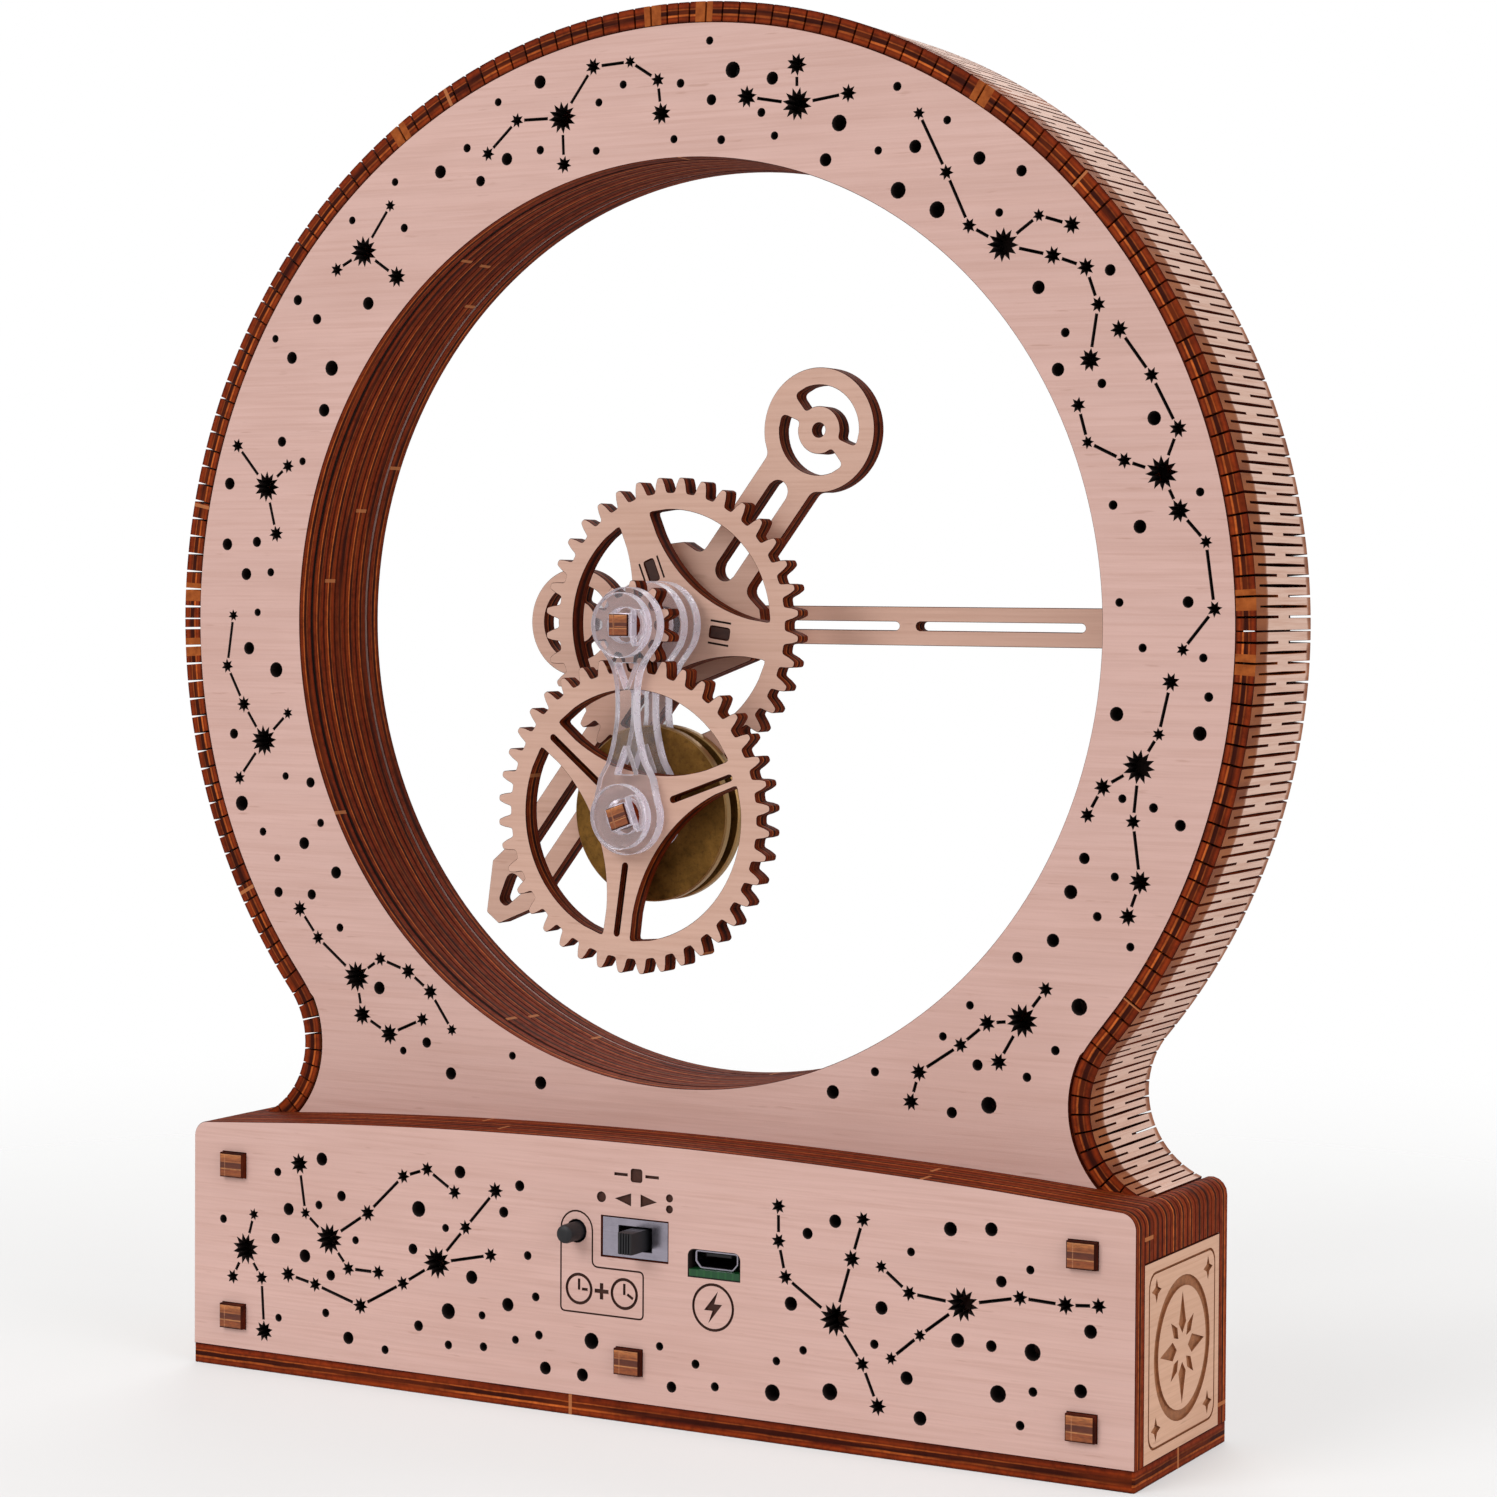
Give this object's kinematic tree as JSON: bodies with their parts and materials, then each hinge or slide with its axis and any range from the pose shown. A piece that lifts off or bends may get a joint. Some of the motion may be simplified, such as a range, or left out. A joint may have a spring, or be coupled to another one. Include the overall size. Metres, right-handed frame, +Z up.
{
  "type": "hollow ring clock kit",
  "caption": "Plywood hollow ring clock on an arched base: a hidden toothed ring carries the minute hand, and a weighted hanger gears down the hour hand.",
  "frame": {"origin": "centre of the base's underside, on the floor", "axes": "+Z up; the control side with the switch and socket faces -Y, the dial side faces +Y; X runs along the base"},
  "size_m": [0.1836, 0.0371, 0.2083],
  "materials": {
    "birch_face": "bare laser-cut birch plywood, pale pinkish faces",
    "inner_board": "burnt laser-cut plywood edges",
    "antique_brass": "darkened brass, fine brushed grain",
    "clear_acrylic": "clear laser-cut acrylic",
    "plated_steel": "plated steel",
    "black_plastic": "black moulded plastic",
    "circuit_board": "green solder mask",
    "cable_sheath": "red cable sheath"
  },
  "bodies": {
    "case": {"base_bottom_plate": "birch_face", "base_rear_plate": "birch_face", "base_rib_1": "inner_board", "base_rib_2": "inner_board", "base_rib_3": "inner_board", "left_end_plaque": "birch_face", "right_end_plaque": "birch_face", "tie_peg_middle": "inner_board", "tie_peg_lower_left": "inner_board", "tie_peg_upper_left": "inner_board", "tie_peg_lower_right": "inner_board", "tie_peg_upper_right": "inner_board", "ring_rear_panel": "birch_face", "front_panel": "birch_face", "case_spacer_1": "inner_board", "case_spacer_2": "inner_board", "case_spacer_3": "inner_board", "case_spacer_4": "inner_board", "case_spacer_5": "inner_board", "rim_band_upper_left": "birch_face", "rim_band_upper_right": "birch_face", "rim_band_lower_left": "birch_face", "rim_band_lower_right": "birch_face", "motor_body": "plated_steel", "motor_bracket": "plated_steel", "motor_cable": "cable_sheath", "control_board": "circuit_board", "usb_socket": "plated_steel", "mode_switch_frame": "plated_steel", "minute_button_body": "black_plastic", "roller_pin_left": "plated_steel", "roller_pin_right": "plated_steel"},
    "rotor": {"rotor_rear_ring": "inner_board", "rotor_gear_ring": "inner_board", "rotor_mid_ring": "inner_board", "rotor_hand_ring": "inner_board", "rotor_front_ring": "inner_board", "minute_hand": "birch_face", "arbor": "inner_board", "central_pinion": "birch_face", "upper_retainer": "clear_acrylic"},
    "hanger": {"rear_link": "clear_acrylic", "mid_link": "clear_acrylic", "front_link": "clear_acrylic", "rear_weight": "antique_brass", "front_weight": "antique_brass"},
    "idler": {"idler_axle": "inner_board", "idler_gear": "birch_face", "idler_pinion": "birch_face", "lower_retainer": "clear_acrylic"},
    "hour": {"hour_gear": "birch_face", "hour_hand": "birch_face", "hour_tab_1": "birch_face", "hour_tab_2": "birch_face", "hour_tab_3": "birch_face"},
    "drive": {"drive_pinion": "birch_face"},
    "left_roller": {"guide_roller_left": "birch_face"},
    "right_roller": {"guide_roller_right": "birch_face"},
    "mode_switch": {"mode_switch_knob": "black_plastic"},
    "minute_button": {"minute_button_cap": "black_plastic"}
  },
  "joints": [
    {"name": "rotor_turn", "type": "hinge", "parent": "case", "child": "rotor", "pos_m": [0, 0.006, 0.1165], "axis": [0, -1, 0], "continuous": true},
    {"name": "hanger_turn", "type": "hinge", "parent": "rotor", "child": "hanger", "pos_m": [0, -0.0125, 0.1165], "axis": [0, -1, 0], "continuous": true},
    {"name": "idler_turn", "type": "hinge", "parent": "hanger", "child": "idler", "pos_m": [0, -0.0105, 0.0888], "axis": [0, -1, 0], "continuous": true},
    {"name": "hour_turn", "type": "hinge", "parent": "hanger", "child": "hour", "pos_m": [0, -0.0045, 0.1165], "axis": [0, -1, 0], "continuous": true},
    {"name": "drive_turn", "type": "hinge", "parent": "case", "child": "drive", "pos_m": [0, 0.0032, 0.0264], "axis": [0, -1, 0], "continuous": true},
    {"name": "left_roller_turn", "type": "hinge", "parent": "case", "child": "left_roller", "pos_m": [-0.07093, 0.0092, 0.15745], "axis": [0, -1, 0], "continuous": true},
    {"name": "right_roller_turn", "type": "hinge", "parent": "case", "child": "right_roller", "pos_m": [0.07093, 0.0092, 0.15745], "axis": [0, -1, 0], "continuous": true},
    {"name": "mode_switch_slide", "type": "slide", "parent": "case", "child": "mode_switch", "axis": [-1, 0, 0], "range_m": [0, 0.0019]},
    {"name": "minute_button_press", "type": "slide", "parent": "case", "child": "minute_button", "axis": [0, 1, 0], "range_m": [0, 0.0005]}
  ],
  "couplings": [
    {"joint": "hanger_turn", "follows": "rotor_turn", "ratio": -1},
    {"joint": "idler_turn", "follows": "rotor_turn", "ratio": -0.25},
    {"joint": "hour_turn", "follows": "rotor_turn", "ratio": 0.083333},
    {"joint": "drive_turn", "follows": "rotor_turn", "ratio": -9},
    {"joint": "left_roller_turn", "follows": "rotor_turn", "ratio": -21.667},
    {"joint": "right_roller_turn", "follows": "rotor_turn", "ratio": -21.667}
  ]
}
